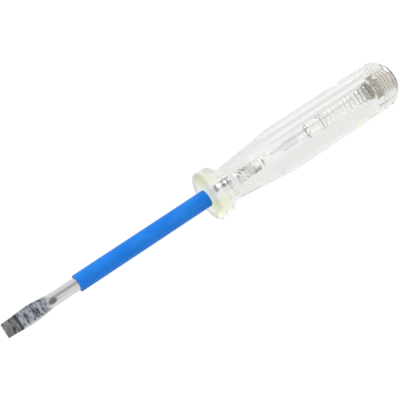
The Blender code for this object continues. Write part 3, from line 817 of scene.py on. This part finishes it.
def make_plug(look):
    """The tail plug: a boss, a thread, and a head with a slot across it."""
    outline = [
        (PLUG_FRONT, 0, 0),
        (PLUG_FRONT, PLUG_CORE, 0.3),
        (HEAD_FRONT, PLUG_CORE, 0.1),
        (HEAD_FRONT, PLUG_HEAD, 0.12),
        (PLUG_BACK, PLUG_HEAD, 0.3),
        (PLUG_BACK, 0, 0),
    ]
    thread_length = THREAD_BACK - THREAD_FRONT
    threaded = [(THREAD_FRONT + thread_length * step / 100, PLUG_CORE) for step in range(100)]
    corners = rounded(outline, 5)
    boss = [spot for spot in corners if spot[0] <= THREAD_FRONT]
    head = [spot for spot in corners if spot[0] > THREAD_FRONT]
    bm = spun([(PLUG_FRONT, 0)] + boss + threaded + head + [(PLUG_BACK, 0)], 144)
    sink(bm, plug_radius)
    plug = piece("tail_screw", bm, "tail_plug", look, "end_plug")
    bm = bmesh.new()
    bmesh.ops.create_cube(bm, size=MM)
    bmesh.ops.scale(bm, verts=bm.verts, vec=(2 * SLOT_DEPTH, CUTTER_LENGTH, SLOT_WIDTH))
    bmesh.ops.translate(bm, verts=bm.verts, vec=(PLUG_BACK * MM, 0, 0))
    cutter = placed("slot_cutter", bm)
    slot = plug.modifiers.new("slot", "BOOLEAN")
    slot.operation = "DIFFERENCE"
    slot.object = cutter
    cut = bpy.data.meshes.new_from_object(plug.evaluated_get(bpy.context.evaluated_depsgraph_get()))
    plug.modifiers.clear()
    plug.data = cut
    smooth(cut)
    bpy.data.objects.remove(cutter)


# The room
def seen_by(start, *kinds):
    """1 for rays of these kinds."""
    share = start.make("ShaderNodeLightPath", out=kinds[0])
    for kind in kinds[1:]:
        share = start.math("MAXIMUM", share, start.make("ShaderNodeLightPath", out=kind))
    return share


def make_floor():
    """A plain pale floor under the guard's rim, which keeps a faint shadow."""
    bm = bmesh.new()
    bmesh.ops.create_grid(bm, x_segments=8, y_segments=8, size=3.0)
    bmesh.ops.translate(bm, verts=bm.verts, vec=(0, 0, -GUARD * MM))
    floor = placed("floor", bm)
    material = bpy.data.materials.new("pale_floor")
    material.use_nodes = True
    tree = material.node_tree
    tree.nodes.remove(tree.nodes["Principled BSDF"])
    start = Shade(tree)
    seen = seen_by(start, "Is Camera Ray", "Is Glossy Ray", "Is Transmission Ray")
    paper = start.make("ShaderNodeBsdfDiffuse", None, {"Color": (0.88, 0.88, 0.88, 1)})
    faint = start.make("ShaderNodeBsdfDiffuse", None, {"Color": (0.10, 0.10, 0.10, 1)})
    glow = start.make("ShaderNodeEmission", None, {"Color": (1, 1, 1, 1), "Strength": 0.95})
    lit = start.make("ShaderNodeAddShader", None, {0: faint, 1: glow})
    mixed = start.make("ShaderNodeMixShader", None, {0: seen, 1: paper, 2: lit})
    start.feed(tree.nodes["Material Output"].inputs["Surface"], mixed)
    floor.data.materials.append(material)


def make_world():
    """A pale room: white to the eye and through clear pieces, darker near the floor for all other light."""
    world = bpy.data.worlds.new("pale_room")
    world.use_nodes = True
    bpy.context.scene.world = world
    start = Shade(world.node_tree)
    up = start.make("ShaderNodeTexCoord", out="Generated").part(2)
    room = up.between(-0.1, 0.9).tint((0.48, 0.48, 0.49), (0.85, 0.85, 0.85))
    mirrored = up.between(0.86, 0.97).tint((0.97, 0.97, 0.97), (0.45, 0.45, 0.46))
    room = seen_by(start, "Is Glossy Ray").tint(room, mirrored)
    for kind in ("Is Transmission Ray", "Is Camera Ray"):
        room = seen_by(start, kind).tint(room, (1, 1, 1))
    start.feed(world.node_tree.nodes["Background"].inputs["Color"], room)


def make_light():
    """Soft light from a wide lamp above."""
    scene = bpy.context.scene
    scene.view_settings.view_transform = "Standard"
    # Light that is caught in the clear plastic meets its walls many times
    scene.cycles.max_bounces = 32
    scene.cycles.glossy_bounces = 24
    scene.cycles.transmission_bounces = 32
    scene.cycles.transparent_max_bounces = 64
    lamp = bpy.data.lights.new("soft_lamp", "AREA")
    lamp.shape = "DISK"
    lamp.size = LIGHT_WIDTH
    lamp.energy = LIGHT_WATTS
    holder = bpy.data.objects.new("soft_lamp", lamp)
    scene.collection.objects.link(holder)
    holder.visible_glossy = False
    turn = (LIGHT_PLACE - LIGHT_AIM).to_track_quat("Z", "Y").to_matrix().to_4x4()
    holder.matrix_world = Matrix.Translation(LIGHT_PLACE) @ turn


def make_camera():
    """The photograph's view."""
    level = cos(VIEW_ELEVATION)
    right = Vector((cos(VIEW_AZIMUTH), sin(VIEW_AZIMUTH), 0))
    back = Vector((sin(VIEW_AZIMUTH) * level, -cos(VIEW_AZIMUTH) * level, sin(VIEW_ELEVATION)))
    up = back.cross(right)
    data = bpy.data.cameras.new("camera")
    data.lens = VIEW_LENS
    data.sensor_width = 36.0
    data.clip_start = 0.01
    camera = bpy.data.objects.new("camera", data)
    bpy.context.scene.collection.objects.link(camera)
    target = VIEW_TARGET + AXIS_OFFSET * (up * OFFSET_UP + right * OFFSET_RIGHT)
    turn = Matrix((right, up, back)).transposed().to_4x4()
    camera.matrix_world = Matrix.Translation(target + back * VIEW_DISTANCE) @ turn
    bpy.context.scene.camera = camera


make_camera()
make_light()
make_world()
make_floor()
cap_metal = pressed_metal()
make_handle(clear_plastic())
make_blade(blade_steel())
make_sleeve(blue_pvc())
make_resistor(resistor_coat(), cap_metal)
make_lamp(
    lamp_glass(),
    cap_metal,
    drawn_metal("lead_wire", (0.96, 0.94, 0.92), (0.92, 0.90, 0.87), 0.15, 0.3),
    drawn_metal("electrode_metal", (0.99, 0.99, 0.99), (0.96, 0.96, 0.96), 0.25, 0.4),
)
make_spring(spring_steel())
make_plug(plug_metal())
